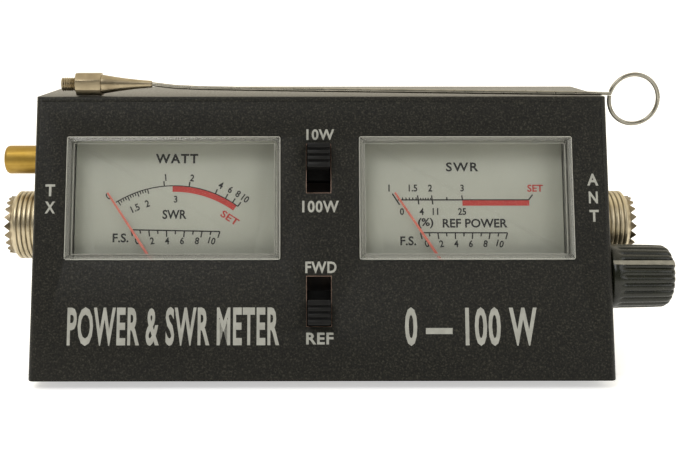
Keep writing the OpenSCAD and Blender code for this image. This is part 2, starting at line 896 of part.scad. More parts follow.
switch_contact(function_v - travel / 2);  // switch_contact_function
pot_body();
pot_terminals();
pot_shaft();
pot_washer();
pot_nut();
cal_knob();
socket_shell(-1);  // tx_socket_shell
socket_shell(1);  // ant_socket_shell
socket_insulator(-1);  // tx_socket_insulator
socket_insulator(1);  // ant_socket_insulator
socket_contact(-1);  // tx_socket_contact
socket_contact(1);  // ant_socket_contact
socket_washers();
socket_nuts();
antenna_post();
post_insulators();
post_nut();
whip_ferrule();
whip_wire();
coupler_board();
board_screws();
line_conductor();
board_diodes();
board_resistors();
board_capacitors();
hookup_wires();
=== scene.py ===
import bpy
import bmesh
import json
import math
from mathutils import Matrix, Vector

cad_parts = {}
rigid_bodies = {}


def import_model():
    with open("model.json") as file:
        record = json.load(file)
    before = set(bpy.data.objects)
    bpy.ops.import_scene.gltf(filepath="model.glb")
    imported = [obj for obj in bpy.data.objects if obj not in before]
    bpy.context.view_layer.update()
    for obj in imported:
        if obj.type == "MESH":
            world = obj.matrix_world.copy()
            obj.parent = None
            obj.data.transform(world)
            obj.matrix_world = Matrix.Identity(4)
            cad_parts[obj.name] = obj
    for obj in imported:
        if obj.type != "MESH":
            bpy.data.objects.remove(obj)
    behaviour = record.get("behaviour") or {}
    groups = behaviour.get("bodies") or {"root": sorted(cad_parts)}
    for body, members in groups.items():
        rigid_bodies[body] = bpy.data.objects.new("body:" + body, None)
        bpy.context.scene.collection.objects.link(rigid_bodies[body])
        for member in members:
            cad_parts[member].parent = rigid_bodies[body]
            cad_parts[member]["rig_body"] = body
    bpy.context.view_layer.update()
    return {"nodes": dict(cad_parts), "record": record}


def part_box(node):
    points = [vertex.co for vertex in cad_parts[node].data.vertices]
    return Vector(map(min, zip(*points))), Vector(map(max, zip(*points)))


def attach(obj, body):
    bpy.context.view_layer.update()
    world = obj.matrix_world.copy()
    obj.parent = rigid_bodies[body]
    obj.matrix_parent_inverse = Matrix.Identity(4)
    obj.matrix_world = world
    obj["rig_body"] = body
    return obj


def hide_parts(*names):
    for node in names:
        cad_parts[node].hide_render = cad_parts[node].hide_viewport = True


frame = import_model()
nodes = frame["nodes"]
scene = bpy.context.scene
print("frame loaded,", len(nodes), "nodes")

# Pieces are drawn in millimetres in a flat frame of their own, then placed in metres.
mm = 0.001
fullTurn = 2 * math.pi
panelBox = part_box("front_chassis")
case = {
    "centreX": (panelBox[0].x + panelBox[1].x) / 2 / mm,
    "halfWidth": (panelBox[1].x - panelBox[0].x) / 2 / mm,
    "frontY": panelBox[0].y / mm,
    "footTop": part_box("rubber_feet")[1].z / mm,
    "topZ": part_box("rear_cover")[1].z / mm,
    "rearY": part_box("rear_cover")[1].y / mm,
    "topDepth": 29.2,      # flat top behind the slope
    "leftMeter": -32.1,    # sideways from the case's middle
    "rightMeter": 31.2,
    "windowV": 39.2,       # up the slope from the foot
    "pivotV": 18.3,
    "dialW": -5.5,         # the dials lie this far behind the panel
}
slopeRun = case["rearY"] - case["topDepth"] - case["frontY"]
slopeRise = case["topZ"] - case["footTop"]
slopeLength = math.hypot(slopeRun, slopeRise)
leanSin = slopeRun / slopeLength
leanCos = slopeRise / slopeLength


def faceFrame(x=0, v=0, w=0):    # x right, y up the slope, z out of the panel
    turn = Matrix(((1, 0, 0), (0, leanSin, -leanCos), (0, leanCos, leanSin))).to_4x4()
    foot = Matrix.Translation((case["centreX"], case["frontY"], case["footTop"]))
    return Matrix.Scale(mm, 4) @ foot @ turn @ Matrix.Translation((x, v, w))


def sideFrame(side, y, z):       # z out of the left (-1) or right (1) side
    turn = Matrix.Rotation(side * math.pi / 2, 4, "Y")
    at = Matrix.Translation((case["centreX"] + side * case["halfWidth"], y, z))
    return Matrix.Scale(mm, 4) @ at @ turn


def middle(node):                # middle of a CAD node, in millimetres
    low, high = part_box(node)
    return (low + high) / 2 / mm


# Finishes
def shaderTree(name):
    made = bpy.data.materials.new(name)
    made.use_nodes = True
    tree = made.node_tree
    return made, tree, tree.nodes["Principled BSDF"]


def noise(tree, scale, detail=3, rough=0.5, stretch=None):
    coords = tree.nodes.new("ShaderNodeTexCoord")
    field = tree.nodes.new("ShaderNodeTexNoise")
    field.inputs["Scale"].default_value = scale
    field.inputs["Detail"].default_value = detail
    field.inputs["Roughness"].default_value = rough
    if stretch:
        mapping = tree.nodes.new("ShaderNodeMapping")
        mapping.inputs["Scale"].default_value = stretch
        tree.links.new(coords.outputs["Object"], mapping.inputs["Vector"])
        tree.links.new(mapping.outputs["Vector"], field.inputs["Vector"])
    else:
        tree.links.new(coords.outputs["Object"], field.inputs["Vector"])
    return field.outputs["Fac"]


def ramp(tree, fac, stops):
    node = tree.nodes.new("ShaderNodeValToRGB")
    marks = node.color_ramp.elements
    while len(marks) < len(stops):
        marks.new(0.5)
    for mark, (place, tone) in zip(marks, stops):
        mark.position = place
        mark.color = (*tone, 1)
    tree.links.new(fac, node.inputs["Fac"])
    return node.outputs["Color"]


def spread(tree, fac, low, high, fromLow=0.3, fromHigh=0.7):
    node = tree.nodes.new("ShaderNodeMapRange")
    node.inputs["From Min"].default_value = fromLow
    node.inputs["From Max"].default_value = fromHigh
    node.inputs["To Min"].default_value = low
    node.inputs["To Max"].default_value = high
    tree.links.new(fac, node.inputs["Value"])
    return node.outputs["Result"]


def bump(tree, shader, height, strength, distance):
    node = tree.nodes.new("ShaderNodeBump")
    node.inputs["Strength"].default_value = strength
    node.inputs["Distance"].default_value = distance
    tree.links.new(height, node.inputs["Height"])
    tree.links.new(node.outputs["Normal"], shader.inputs["Normal"])


def finish(name, dark, light, patch, grain, rough, relief, metal=0.0, stretch=None, spec=0.5):
    made, tree, shader = shaderTree(name)
    wide = noise(tree, patch, 3, 0.55)
    fine = noise(tree, grain, 2, 0.6, stretch)
    tree.links.new(ramp(tree, wide, [(0.3, dark), (0.72, light)]), shader.inputs["Base Color"])
    tree.links.new(spread(tree, fine, rough[0], rough[1]), shader.inputs["Roughness"])
    shader.inputs["Metallic"].default_value = metal
    shader.inputs["Specular IOR Level"].default_value = spec
    bump(tree, shader, fine, relief[0], relief[1])
    return made


def powderCoat(name, dark, middling, sparkle, rough, spec):    # fine orange peel with paler specks
    made, tree, shader = shaderTree(name)
    peel = noise(tree, 1700, 3, 0.6)
    speck = noise(tree, 2600, 2, 0.6)
    cloud = noise(tree, 40, 3, 0.5)
    base = ramp(tree, speck, [(0.36, dark), (0.56, middling), (0.72, sparkle)])
    mix = tree.nodes.new("ShaderNodeMix")
    mix.data_type = "RGBA"
    mix.blend_type = "MULTIPLY"
    mix.inputs["Factor"].default_value = 0.5
    tree.links.new(base, mix.inputs["A"])
    tree.links.new(ramp(tree, cloud, [(0.3, (0.7, 0.7, 0.7)), (0.7, (1, 1, 1))]), mix.inputs["B"])
    tree.links.new(mix.outputs["Result"], shader.inputs["Base Color"])
    tree.links.new(spread(tree, peel, rough[0], rough[1]), shader.inputs["Roughness"])
    shader.inputs["Specular IOR Level"].default_value = spec
    bump(tree, shader, peel, 0.45, 0.00014)
    return made


def clearPlastic(name, pane, tint):
    made, tree, shader = shaderTree(name)
    scratch = noise(tree, 900, 2, 0.5, (1, 1, 9))
    tree.links.new(spread(tree, scratch, 0.03, 0.12), shader.inputs["Roughness"])
    shader.inputs["Base Color"].default_value = (*tint, 1)
    edge = tree.nodes.new("ShaderNodeLayerWeight")
    edge.inputs["Blend"].default_value = 0.25
    through = tree.nodes.new("ShaderNodeBsdfTransparent")
    mix = tree.nodes.new("ShaderNodeMixShader")
    facing = spread(tree, edge.outputs["Facing"], pane, min(1, pane + 0.4), 0.0, 1.0)   # milkier edge-on
    tree.links.new(facing, mix.inputs["Fac"])
    tree.links.new(through.outputs["BSDF"], mix.inputs[1])
    tree.links.new(shader.outputs["BSDF"], mix.inputs[2])
    tree.links.new(mix.outputs["Shader"], tree.nodes["Material Output"].inputs["Surface"])
    return made


look = {
    "powder_coat": powderCoat("powder_coat", (0.003, 0.003, 0.0022), (0.011, 0.0105, 0.0072),
                              (0.04, 0.038, 0.028), (0.42, 0.6), 0.23),
    "powder_back": powderCoat("powder_back", (0.014, 0.011, 0.005), (0.028, 0.0225, 0.011),
                              (0.06, 0.05, 0.03), (0.34, 0.48), 0.4),
    "nickel": finish("nickel", (0.38, 0.32, 0.21), (0.55, 0.48, 0.34), 220, 700, (0.36, 0.46),
                     (0.02, 0.00002), metal=1.0),
    "zinc_steel": finish("zinc_steel", (0.42, 0.43, 0.44), (0.62, 0.63, 0.62), 300, 1800, (0.28, 0.45),
                         (0.12, 0.00005), metal=1.0),
    "rubber": finish("rubber", (0.012, 0.012, 0.012), (0.03, 0.03, 0.029), 300, 3000, (0.7, 0.9),
                     (0.3, 0.0001), spec=0.3),
    "dial": finish("dial", (0.36, 0.37, 0.315), (0.41, 0.42, 0.36), 60, 3500, (0.5, 0.65),
                   (0.05, 0.00002), spec=0.3),
    "black_plastic": finish("black_plastic", (0.010, 0.010, 0.010), (0.022, 0.022, 0.021), 200, 4000,
                            (0.4, 0.55), (0.15, 0.00004)),
    "soft_iron": finish("soft_iron", (0.22, 0.22, 0.22), (0.40, 0.40, 0.41), 350, 2200, (0.35, 0.5),
                        (0.2, 0.00006), metal=1.0),
    "magnet": finish("magnet", (0.10, 0.10, 0.105), (0.22, 0.22, 0.225), 500, 2600, (0.5, 0.7),
                     (0.4, 0.0001), metal=0.8),
    "brass": finish("brass", (0.30, 0.19, 0.036), (0.38, 0.25, 0.062), 260, 1500, (0.42, 0.56),
                    (0.10, 0.00004), metal=1.0, stretch=(0.06, 1.0, 1.0)),
    "coil": finish("coil", (0.35, 0.11, 0.03), (0.60, 0.25, 0.08), 500, 5000, (0.3, 0.5),
                   (0.6, 0.00008), metal=0.6, stretch=(0.1, 0.1, 1.0)),
    "needle_red": finish("needle_red", (0.50, 0.10, 0.07), (0.62, 0.17, 0.12), 400, 3000, (0.4, 0.55),
                         (0.1, 0.00003)),
    "jewel": finish("jewel", (0.35, 0.01, 0.05), (0.60, 0.03, 0.10), 600, 2500, (0.08, 0.16),
                    (0.03, 0.00002)),
    "phenolic": finish("phenolic", (0.012, 0.008, 0.006), (0.035, 0.022, 0.014), 400, 1800, (0.4, 0.6),
                       (0.25, 0.00006), stretch=(0.3, 1.0, 3.0)),
    "switch_plastic": finish("switch_plastic", (0.0018, 0.0018, 0.0018), (0.005, 0.005, 0.0045), 500, 4200,
                             (0.4, 0.55), (0.2, 0.00004), spec=0.22),
    "knob_plastic": finish("knob_plastic", (0.006, 0.0068, 0.0035), (0.012, 0.0132, 0.0075), 180, 3200,
                           (0.24, 0.34), (0.12, 0.00005), spec=0.34),
    "insulator": finish("insulator", (0.62, 0.57, 0.45), (0.78, 0.74, 0.63), 250, 1500, (0.35, 0.5),
                        (0.1, 0.00005)),
    "silvered": finish("silvered", (0.60, 0.56, 0.46), (0.80, 0.77, 0.68), 320, 2000, (0.2, 0.36),
                       (0.1, 0.00004), metal=1.0),
    "steel_wire": finish("steel_wire", (0.21, 0.20, 0.165), (0.32, 0.30, 0.25), 300, 900, (0.25, 0.36),
                         (0.02, 0.00002), metal=1.0),
    "board": finish("board", (0.22, 0.12, 0.035), (0.38, 0.24, 0.08), 200, 1500, (0.4, 0.6),
                    (0.2, 0.00005), stretch=(0.2, 1.0, 2.0)),
    "diode_glass": finish("diode_glass", (0.45, 0.16, 0.06), (0.70, 0.34, 0.16), 500, 1500, (0.06, 0.14),
                          (0.03, 0.00002)),
    "resistor": finish("resistor", (0.45, 0.30, 0.16), (0.66, 0.50, 0.31), 350, 2000, (0.25, 0.4),
                       (0.1, 0.00004)),
    "ceramic": finish("ceramic", (0.50, 0.20, 0.05), (0.68, 0.34, 0.12), 300, 1600, (0.3, 0.5),
                      (0.3, 0.0001)),
    "wire_red": finish("wire_red", (0.36, 0.015, 0.012), (0.52, 0.035, 0.03), 300, 1800, (0.2, 0.35),
                       (0.08, 0.00004)),
    "clear_cover": clearPlastic("clear_cover", 0.015, (0.30, 0.30, 0.28)),
    "clear_wall": clearPlastic("clear_wall", 0.62, (0.50, 0.50, 0.45)),
    # darker nickel painted on the socket teeth as a dark reflection
    "nickel_painted_dark": finish("nickel_painted_dark", (0.15, 0.12, 0.075), (0.25, 0.205, 0.135), 260, 700, (0.3, 0.42),
                          (0.02, 0.00002), metal=1.0),
    "nickel_whip": finish("nickel_whip", (0.24, 0.195, 0.125), (0.38, 0.32, 0.215), 240, 700, (0.32, 0.42),
                          (0.02, 0.00002), metal=1.0),
    "pointer_ink": finish("pointer_ink", (0.17, 0.16, 0.125), (0.25, 0.235, 0.185), 500, 3000, (0.5, 0.7),
                          (0.1, 0.00003)),
    "clear_rim": clearPlastic("clear_rim", 0.32, (0.36, 0.36, 0.325)),
    # near-black painted shade for the slider faces deep in the slot
    "slot_painted_shade": finish("slot_painted_shade", (0.0008, 0.0008, 0.0008), (0.002, 0.002, 0.0018), 400, 3000,
                         (0.6, 0.8), (0.1, 0.00003), spec=0.08),
    "bare_edge": finish("bare_edge", (0.15, 0.095, 0.07), (0.30, 0.20, 0.155), 500, 2500, (0.3, 0.5),
                        (0.2, 0.00004), metal=0.7),
    "label_ink": finish("label_ink", (0.27, 0.27, 0.24), (0.34, 0.34, 0.305), 500, 3000, (0.5, 0.7),
                        (0.1, 0.00003)),
    "dial_ink": finish("dial_ink", (0.006, 0.006, 0.007), (0.014, 0.014, 0.014), 700, 3000, (0.5, 0.7),
                       (0.1, 0.00002)),
    "dial_red": finish("dial_red", (0.36, 0.03, 0.025), (0.44, 0.045, 0.035), 700, 3000, (0.5, 0.65),
                       (0.1, 0.00002)),
}
slotOf = {part["node"]: part["material_slot"] for part in frame["record"]["subparts"]}
bodyOf = {name: node["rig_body"] for name, node in nodes.items()}
for name, node in nodes.items():
    node.data.materials.clear()
    node.data.materials.append(look[slotOf[name]])
print("finishes made,", len(look))


# Modelling helpers
broadFlat = 12 * mm * mm             # faces above this keep one normal


def keep(bm, name, place, like, finishes=None, stands=True, smooth=35, clean=True):
    # bm becomes a piece that rides with the CAD node it is like
    if clean:
        bmesh.ops.remove_doubles(bm, verts=bm.verts, dist=1e-4)
        bmesh.ops.recalc_face_normals(bm, faces=bm.faces)
    bmesh.ops.transform(bm, matrix=place, verts=bm.verts)
    mesh = bpy.data.meshes.new(name)
    bm.to_mesh(mesh)
    bm.free()
    for tone in finishes or [slotOf[like]]:
        mesh.materials.append(look[tone])
    mesh.shade_smooth()
    for face in mesh.polygons:
        if face.area > broadFlat:
            face.use_smooth = False
    mesh.set_sharp_from_angle(angle=math.radians(smooth))
    piece = bpy.data.objects.new(name, mesh)
    scene.collection.objects.link(piece)
    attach(piece, bodyOf[like])
    if stands:
        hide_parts(like)
    return piece


def turned(bm, profile, steps=72):    # spins a profile of (radius, height) about z
    verts = [bm.verts.new((r, 0, z)) for r, z in profile]
    edges = [bm.edges.new(pair) for pair in zip(verts, verts[1:])]
    bmesh.ops.spin(bm, geom=verts + edges, axis=(0, 0, 1), cent=(0, 0, 0), angle=fullTurn,
                   steps=steps, use_merge=True)
    bmesh.ops.remove_doubles(bm, verts=bm.verts, dist=1e-4)


def block(bm, size, at=(0, 0, 0), turn=0.0, soften=0.0):
    spot = Matrix.Translation(at) @ Matrix.Rotation(turn, 4, "Z") @ Matrix.Diagonal((*size, 1))
    made = bmesh.ops.create_cube(bm, size=1, matrix=spot)
    if soften:
        edges = {e for v in made["verts"] for e in v.link_edges}
        bmesh.ops.bevel(bm, geom=list(edges), offset=soften, offset_type="OFFSET", affect="EDGES",
                        segments=2, profile=0.5, material=-1)


def refined(node, name, soften=0.12, segments=2, least=30, shape=None, **options):
    # a merged copy of a CAD node with its sharp edges softened
    bm = bmesh.new()
    bm.from_mesh(nodes[node].data)
    bmesh.ops.transform(bm, matrix=Matrix.Scale(1 / mm, 4), verts=bm.verts)
    bmesh.ops.remove_doubles(bm, verts=bm.verts, dist=0.002)
    bmesh.ops.dissolve_limit(bm, angle_limit=math.radians(0.5), verts=bm.verts, edges=bm.edges)
    limit = math.radians(least)      # flatter edges stay as they are
    edges = [e for e in bm.edges if e.is_manifold and e.calc_face_angle(0) > limit]
    bmesh.ops.bevel(bm, geom=edges, offset=soften, offset_type="OFFSET", affect="EDGES",
                    segments=segments, profile=0.5, material=-1, clamp_overlap=False)
    if shape:
        shape(bm)
    return keep(bm, name, Matrix.Scale(mm, 4), node, clean=False, **options)


inkHalf = 0.01                       # letters are drawn this thick, then scaled to their depth


def lettering(bm, words, centre, height, width=None, turn=0.0, bold=0.02, depth=0.03, gap=1.0):
    # words of that cap height about centre, as thin solid letters
    curve = bpy.data.curves.new("words", "FONT")
    curve.body = words
    curve.offset = bold
    curve.space_character = gap
    curve.extrude = inkHalf
    curve.resolution_u = 3
    temp = bpy.data.objects.new("words", curve)
    mesh = bpy.data.meshes.new_from_object(temp)
    xs = [v.co.x for v in mesh.vertices]
    ys = [v.co.y for v in mesh.vertices]
    tall = height / (max(ys) - min(ys))
    wide = width / (max(xs) - min(xs)) if width else tall * 0.9
    centred = Matrix.Translation((-(max(xs) + min(xs)) / 2, -(max(ys) + min(ys)) / 2, 0))
    size = Matrix.Diagonal((wide, tall, depth / inkHalf, 1))
    mesh.transform(Matrix.Translation((*centre, 0)) @ Matrix.Rotation(turn, 4, "Z") @ size @ centred)
    bm.from_mesh(mesh)
    bpy.data.objects.remove(temp)
    bpy.data.curves.remove(curve)
    bpy.data.meshes.remove(mesh)


# Case
front = refined("front_chassis", "case_front", least=40, finishes=["powder_coat", "bare_edge"])
slots = {"x": -0.7, "v": (45.6, 16.9), "half": (2.75, 5.45)}     # just round the two slider slots
toFace = faceFrame().inverted()
for face in front.data.polygons:     # the punched slot walls are bare
    spot = toFace @ face.center
    inSlot = any(abs(spot.y - v) < slots["half"][1] for v in slots["v"])
    upright = abs((toFace.to_3x3() @ face.normal).normalized().z) < 0.98
    if abs(spot.x - slots["x"]) < slots["half"][0] and inSlot and upright:
        face.material_index = 1
refined("rear_cover", "case_back", soften=0.15, finishes=["powder_back"])
refined("cover_screws", "case_screws")
refined("rubber_feet", "case_feet", soften=0.5, segments=3)
print("case done")

# Panel lettering
panelText = {
    "words": [  # words, middle x, middle v, width, height
        ("10W", -0.3, 53.05, 6.05, 2.42),
        ("100W", -0.3, 37.26, 7.9, 2.6),
        ("FWD", -0.25, 24.13, 6.7, 2.5),
        ("REF", -0.55, 9.0, 5.8, 2.5),
        ("POWER & SWR METER", -31.65, 11.6, 45.0, 8.2),
        ("0 — 100 W", 31.6, 11.5, 28.1, 8.2),
        ("T", -58.6, 40.85, 2.1, 2.6),
        ("X", -58.55, 37.1, 2.2, 2.6),
        ("A", 58.6, 43.1, 2.4, 2.6),
        ("N", 58.6, 39.2, 1.95, 2.6),
        ("T", 58.65, 35.2, 2.0, 2.6),
    ],
    "bold": 0.028,
    "titleBold": 0.027,
    "gap": 1.1,
    "depth": 0.02,
}
bm = bmesh.new()
for words, x, v, width, height in panelText["words"]:
    heavy = panelText["titleBold"] if height > 5 else panelText["bold"]
    lettering(bm, words, (x, v), height, width, bold=heavy, depth=panelText["depth"], gap=panelText["gap"])
keep(bm, "panel_lettering", faceFrame(), "front_chassis", ["label_ink"], stands=False)
print("lettering done")

# Meters
dialPrint = {
    "arcRadius": 23.9,
    "arcCentre": (-0.5, 0.5),
    "top": [("1", -5.2), ("2", 7.6), ("4", 21.9), ("6", 27.0), ("8", 31.2), ("10", 35.4)],
    "topRadius": 26.4,
    "ticks": [-5.2, 8.0, 22.5, 28.4, 32.8, 36.2],
    "low": [("1.5", -24.9), ("2", -17.3), ("3", -0.3)],
    "lowRadius": 21.4,
    "digit": 1.55,
    "line": 0.28,
    "fineLine": 0.24,
}
window = {"rim": 0.95, "paneArea": 400, "soften": 0.22}


def aimed(radius, degrees, centre=(0, 0)):
    angle = math.radians(degrees)
    return centre[0] + radius * math.sin(angle), centre[1] + radius * math.cos(angle)


def stroke(bm, a, b, width):
    along = Vector(b) - Vector(a)
    mid = (Vector(a) + Vector(b)) / 2
    block(bm, (along.length, width, 0.05), (*mid, 0), math.atan2(along.y, along.x))


def arcBand(bm, centre, inner, outer, start, end, steps=40):
    # a flat ring piece between two bearings from straight up, in degrees
    corners = [(*aimed(r, start, centre), z) for r, z in
               ((inner, -0.025), (outer, -0.025), (outer, 0.025), (inner, 0.025))]
    verts = [bm.verts.new(c) for c in corners]
    face = bm.faces.new(verts)
    bmesh.ops.spin(bm, geom=[face] + list(face.edges) + verts, axis=(0, 0, 1), cent=(*centre, 0),
                   angle=-math.radians(end - start), steps=steps)


def leftDial():                      # returns both inks and the ends of the lowest scale
    black = bmesh.new()
    red = bmesh.new()
    p = dialPrint
    digit = p["digit"]
    arcBand(black, p["arcCentre"], p["arcRadius"] - 0.1, p["arcRadius"] + 0.12, -32.3, 36.3)
    arcBand(red, p["arcCentre"], p["arcRadius"] - 1.35, p["arcRadius"] - 0.07, -0.8, 35.5)
    for angle in p["ticks"]:
        stroke(black, aimed(p["arcRadius"], angle, p["arcCentre"]),
               aimed(p["arcRadius"] + 1.15, angle, p["arcCentre"]), p["line"])
    for words, angle in p["top"]:
        lettering(black, words, aimed(p["topRadius"], angle), digit, turn=-math.radians(angle))
    lettering(black, "0", aimed(26.7, -34.2), digit, turn=math.radians(34))
    stroke(black, aimed(22.6, -33.6), aimed(25.2, -33.6), p["line"])
    for words, angle in p["low"]:
        lettering(black, words, aimed(p["lowRadius"], angle), digit, turn=-math.radians(angle))
    for k in range(13):              # fine marks under the arc
        angle = -31.0 + 1.4 * k
        length = 1.1 if k % 4 == 0 else 0.7
        stroke(black, aimed(p["arcRadius"] - length, angle, p["arcCentre"]),
               aimed(p["arcRadius"], angle, p["arcCentre"]), p["fineLine"])
    lettering(black, "WATT", (0.07, 30.5), 2.15, 9.4, bold=0.03, gap=1.2)
    lettering(black, "SWR", (-0.32, 18.0), 2.05, 5.3, bold=0.022)
    lettering(red, "SET", (11.9, 17.2), 1.6, 4.3, turn=-math.radians(33))
    return black, red, (-9.85, 14.6), (9.73, 14.2)


def rightDial():
    black = bmesh.new()
    red = bmesh.new()
    digit = dialPrint["digit"]
    line = dialPrint["line"]
    for words, x in (("1", -16.2), ("1.5", -10.9), ("2", -7.1), ("3", 0.0)):
        lettering(black, words, (x, 23.85), digit)
    lettering(red, "SET", (16.2, 23.8), 1.6, 3.5)
    lettering(black, "SWR", (0.1, 28.6), 2.05, 7.2, bold=0.022, gap=1.2)
    stroke(black, (-14.3, 21.2), (14.75, 21.2), line)
    stroke(black, (-15.5, 22.6), (-13.9, 20.1), line)
    stroke(black, (14.7, 21.2), (15.6, 22.4), line)
    block(red, (14.8, 1.2, 0.05), (7.4, 20.5, 0))
    for x, up, down in ((-9.8, 1.0, 1.0), (-6.7, 1.0, 1.0), (-3.4, 0.6, 0.0), (0.0, 1.0, 0.0)):
        stroke(black, (x + down * 0.15, 21.2 - down), (x - up * 0.1, 21.2 + up), line)
    for k in range(5):
        stroke(black, (-13.2 + 0.75 * k, 21.2), (-13.25 + 0.75 * k, 21.75), dialPrint["fineLine"])
        stroke(black, (-9.2 + 0.55 * k, 21.2), (-9.25 + 0.55 * k, 21.65), dialPrint["fineLine"])
    for words, x in (("0", -13.4), ("4", -9.05), ("11", -6.0), ("25", -0.1)):
        lettering(black, words, (x, 18.6), digit)
    lettering(black, "(%)", (-8.2, 16.0), 2.3, 3.4)
    lettering(black, "REF POWER", (2.7, 16.0), 2.0, 14.3, bold=0.022)
    return black, red, (-9.4, 13.9), (9.82, 13.85)


def powerScale(black, start, end):   # the lowest scale, the same on both dials
    stroke(black, start, end, dialPrint["line"])
    for k in range(11):
        share = k / 10
        x = start[0] + (end[0] - start[0]) * share
        v = start[1] + (end[1] - start[1]) * share
        tilt = 0.55 * (share - 0.45)
        length = 1.4 if k % 2 == 0 else 0.8
        stroke(black, (x, v), (x - tilt * length, v - length), dialPrint["line"])
    for k, words in enumerate(("0", "2", "4", "6", "8", "10")):
        x = start[0] + 1.4 + (end[0] - start[0]) * 0.168 * k
        lettering(black, words, (x, start[1] - 2.45), dialPrint["digit"],
                  turn=-math.radians(6 * (k - 2.4)))
    lettering(black, "F.S.", (-12.1, start[1] - 1.8), 2.0, 3.5, bold=0.022)


def windowRim(bm):                   # the wall's thickness shows round the pane
    out = Vector((0, -leanCos, leanSin))
    for face in bm.faces:
        flat = abs(face.normal.dot(out)) > 0.995
        face.material_index = 0 if flat and face.calc_area() > window["paneArea"] else 1
    panes = [face for face in bm.faces if face.material_index == 0]
    outer = max(panes, key=lambda face: face.calc_center_median().dot(out))
    rim = bmesh.ops.inset_region(bm, faces=[outer], thickness=window["rim"], use_even_offset=True)
    for face in rim["faces"]:
        face.material_index = 2


for side, drawDial in (("left", leftDial), ("right", rightDial)):
    meterX = case[side + "Meter"]
    black, red, start, end = drawDial()
    powerScale(black, start, end)
    onDial = faceFrame(meterX, case["pivotV"], case["dialW"] + 0.02)
    dial = f"meter_dial_{side}"
    keep(black, f"dial_print_{side}", onDial, dial, ["dial_ink"], stands=False, clean=False)
    keep(red, f"dial_red_{side}", onDial, dial, ["dial_red"], stands=False, clean=False)
    refined(dial, f"dial_plate_{side}", soften=0.06)
    refined(f"meter_needle_{side}", f"needle_{side}", soften=0.03)
    refined(f"meter_cover_{side}", f"meter_window_{side}", soften=window["soften"], segments=3,
            shape=windowRim, finishes=["clear_cover", "clear_wall", "clear_rim"])
print("meters done")

# Switches
paintedShadeDepth = -1.5                     # slider faces this far behind the panel get a near-black painted shade
for name in ("power", "function"):
    slider = refined(f"switch_slider_{name}", f"slider_{name}", soften=0.14,
                     finishes=["switch_plastic", "slot_painted_shade"])
    # painted shade: the slider's faces inside the slot are made near-black
    for face in slider.data.polygons:
        if (toFace @ face.center).z < paintedShadeDepth:
            face.material_index = 1
    refined(f"switch_shell_{name}", f"switch_frame_{name}", soften=0.1)
print("switches done")

# Calibration knob
knob = {
    "start": 0.4,          # off the case's side
    "skirt": 7.25,
    "skirtEnd": 1.9,
    "nose": 6.85,
    "bodyEnd": 14.2,
    "flutes": 24,
    "fluteDepth": 0.42,
    "recess": 5.7,
    "recessEnd": 4.4,
    "bore": 3.03,
    "boreEnd": 10.6,
    "pointer": math.radians(-39),
    "pointerWidth": 0.95,
}


def makeKnob():
    k = knob
    skirt = k["skirt"]
    nose = k["nose"]
    end = k["bodyEnd"]
    bm = bmesh.new()
    profile = [(0, k["boreEnd"]), (k["bore"], k["boreEnd"]), (k["bore"], k["recessEnd"]),
               (k["recess"], k["recessEnd"]), (k["recess"], k["start"]), (skirt - 0.25, k["start"]),
               (skirt, k["start"] + 0.25), (skirt - 0.05, k["skirtEnd"])]
    for i in range(1, 7):            # the flutes run out into the skirt
        profile.append((skirt - 0.05 - 0.02 * i, k["skirtEnd"] + 0.25 * i))
    profile += [(nose + 0.12, end - 4), (nose, end - 1.5), (nose - 0.12, end - 1.0), (nose - 0.42, end - 0.5),
                (nose - 0.85, end - 0.14), (nose - 1.35, end), (nose - 2.0, end - 0.1),
                (nose - 2.3, end - 0.35), (0, end - 0.4)]
    turned(bm, profile, k["flutes"] * 8)
    for vert in bm.verts:
        r = math.hypot(vert.co.x, vert.co.y)
        z = vert.co.z
        if z < k["skirtEnd"] or r < nose - 1.4:
            continue
        angle = math.atan2(vert.co.y, vert.co.x)
        wave = abs(math.sin(angle * k["flutes"] / 2)) ** 0.7   # broad ribs, narrow valleys
        fade = min(1, (z - k["skirtEnd"]) / 1.3)
        scale = 1 - k["fluteDepth"] * fade * (1 - wave) / r
        vert.co.x *= scale
        vert.co.y *= scale
    return bm


place = sideFrame(1, middle("cal_knob").y, middle("cal_knob").z)
keep(makeKnob(), "knob_body", place, "cal_knob", smooth=50)
bm = bmesh.new()
width = knob["pointerWidth"]
block(bm, (0.5, width, 13.2), (knob["skirt"] - 0.24, 0, 0.5 + 6.6), soften=0.08)
block(bm, (2.6, width, 0.3), (knob["nose"] - 2.0, 0, knob["bodyEnd"] - 0.16), soften=0.05)
pointerTurn = Matrix.Rotation(knob["pointer"] - math.pi / 2, 3, "Z")
bmesh.ops.rotate(bm, verts=bm.verts, cent=(0, 0, 0), matrix=pointerTurn)
keep(bm, "knob_pointer", place, "cal_knob", ["pointer_ink"], stands=False)
refined("pot_nut", "knob_nut", soften=0.15)
refined("pot_washer", "knob_washer", soften=0.1)
print("knob done")

# Sockets
socket = {
    "major": 7.94,
    "minor": 7.7,
    "pitch": 1.058,        # 24 per inch
    "threadStart": 2.4,
    "threadEnd": 7.5,
    "length": 9.9,
    "collar": 6.7,
    "mouth": 6.1,
    "floor": 0.5,
    "hole": 4.55,
    "neck": 7.64,
    "flange": 9.5,         # inside the case
    "flangeFront": -1.0,
    "flangeBack": -4.0,
    "teeth": 20,
    "toothDepth": 1.3,
}


